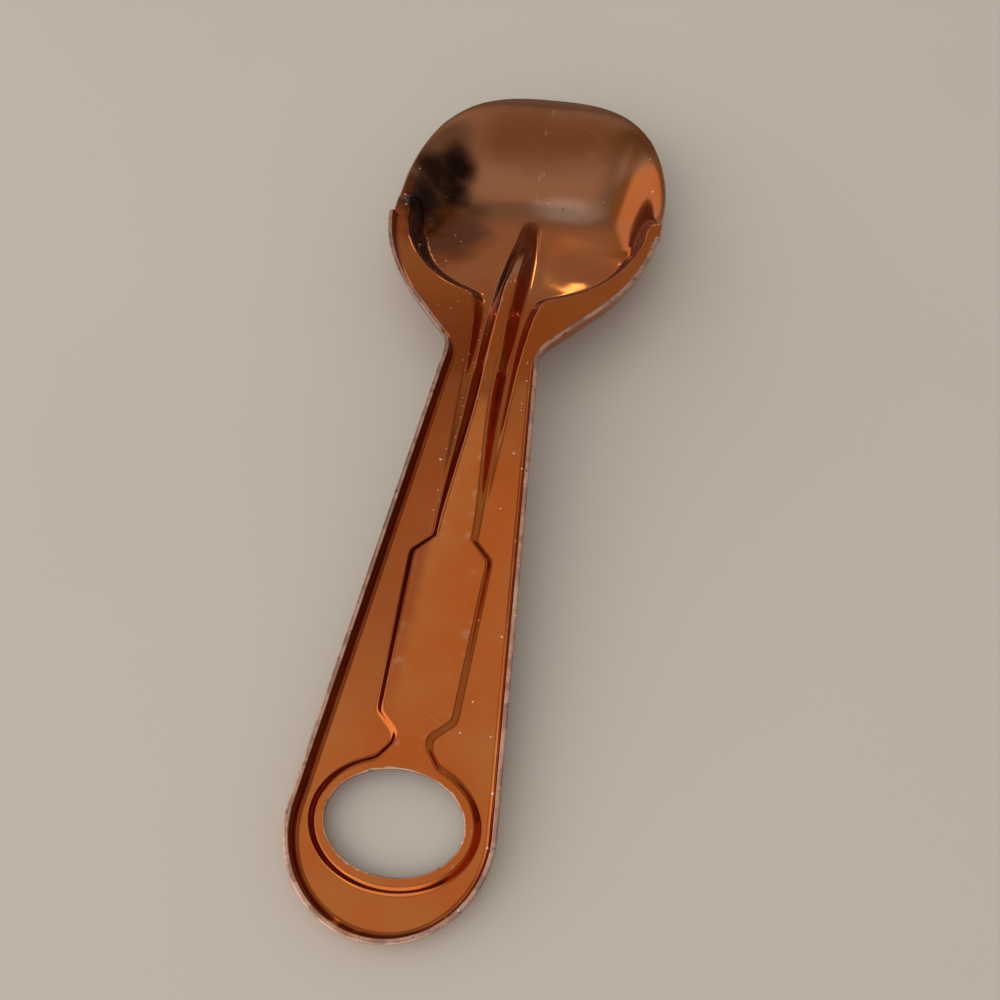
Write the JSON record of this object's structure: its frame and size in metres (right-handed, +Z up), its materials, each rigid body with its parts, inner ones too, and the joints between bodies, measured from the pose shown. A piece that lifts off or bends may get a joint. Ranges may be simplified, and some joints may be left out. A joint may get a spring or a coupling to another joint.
{
  "type": "ice cream scoop",
  "caption": "Pressed sheet metal ice cream scoop: tray handle with a turned-up wall, grip panel, rib and oval hang hole, and a deep bowl with a plain front lip.",
  "frame": {"origin": "centre of the bounding box in plan, on the surface that the scoop lies on", "axes": "+Y from the handle's end towards the bowl's lip, +X to the right with the bowl facing up and away from the viewer, +Z up; the scoop lies at rest on its handle's end and the bowl's underside"},
  "size_m": [0.0666, 0.2118, 0.0164],
  "materials": {
    "copper_anodised_sheet": "bright copper-coloured anodising, slightly worn, with bare pinkish-silver metal on the sheet's cut edges"
  },
  "bodies": {
    "root": {"scoop_pressing": "copper_anodised_sheet"}
  },
  "joints": []
}
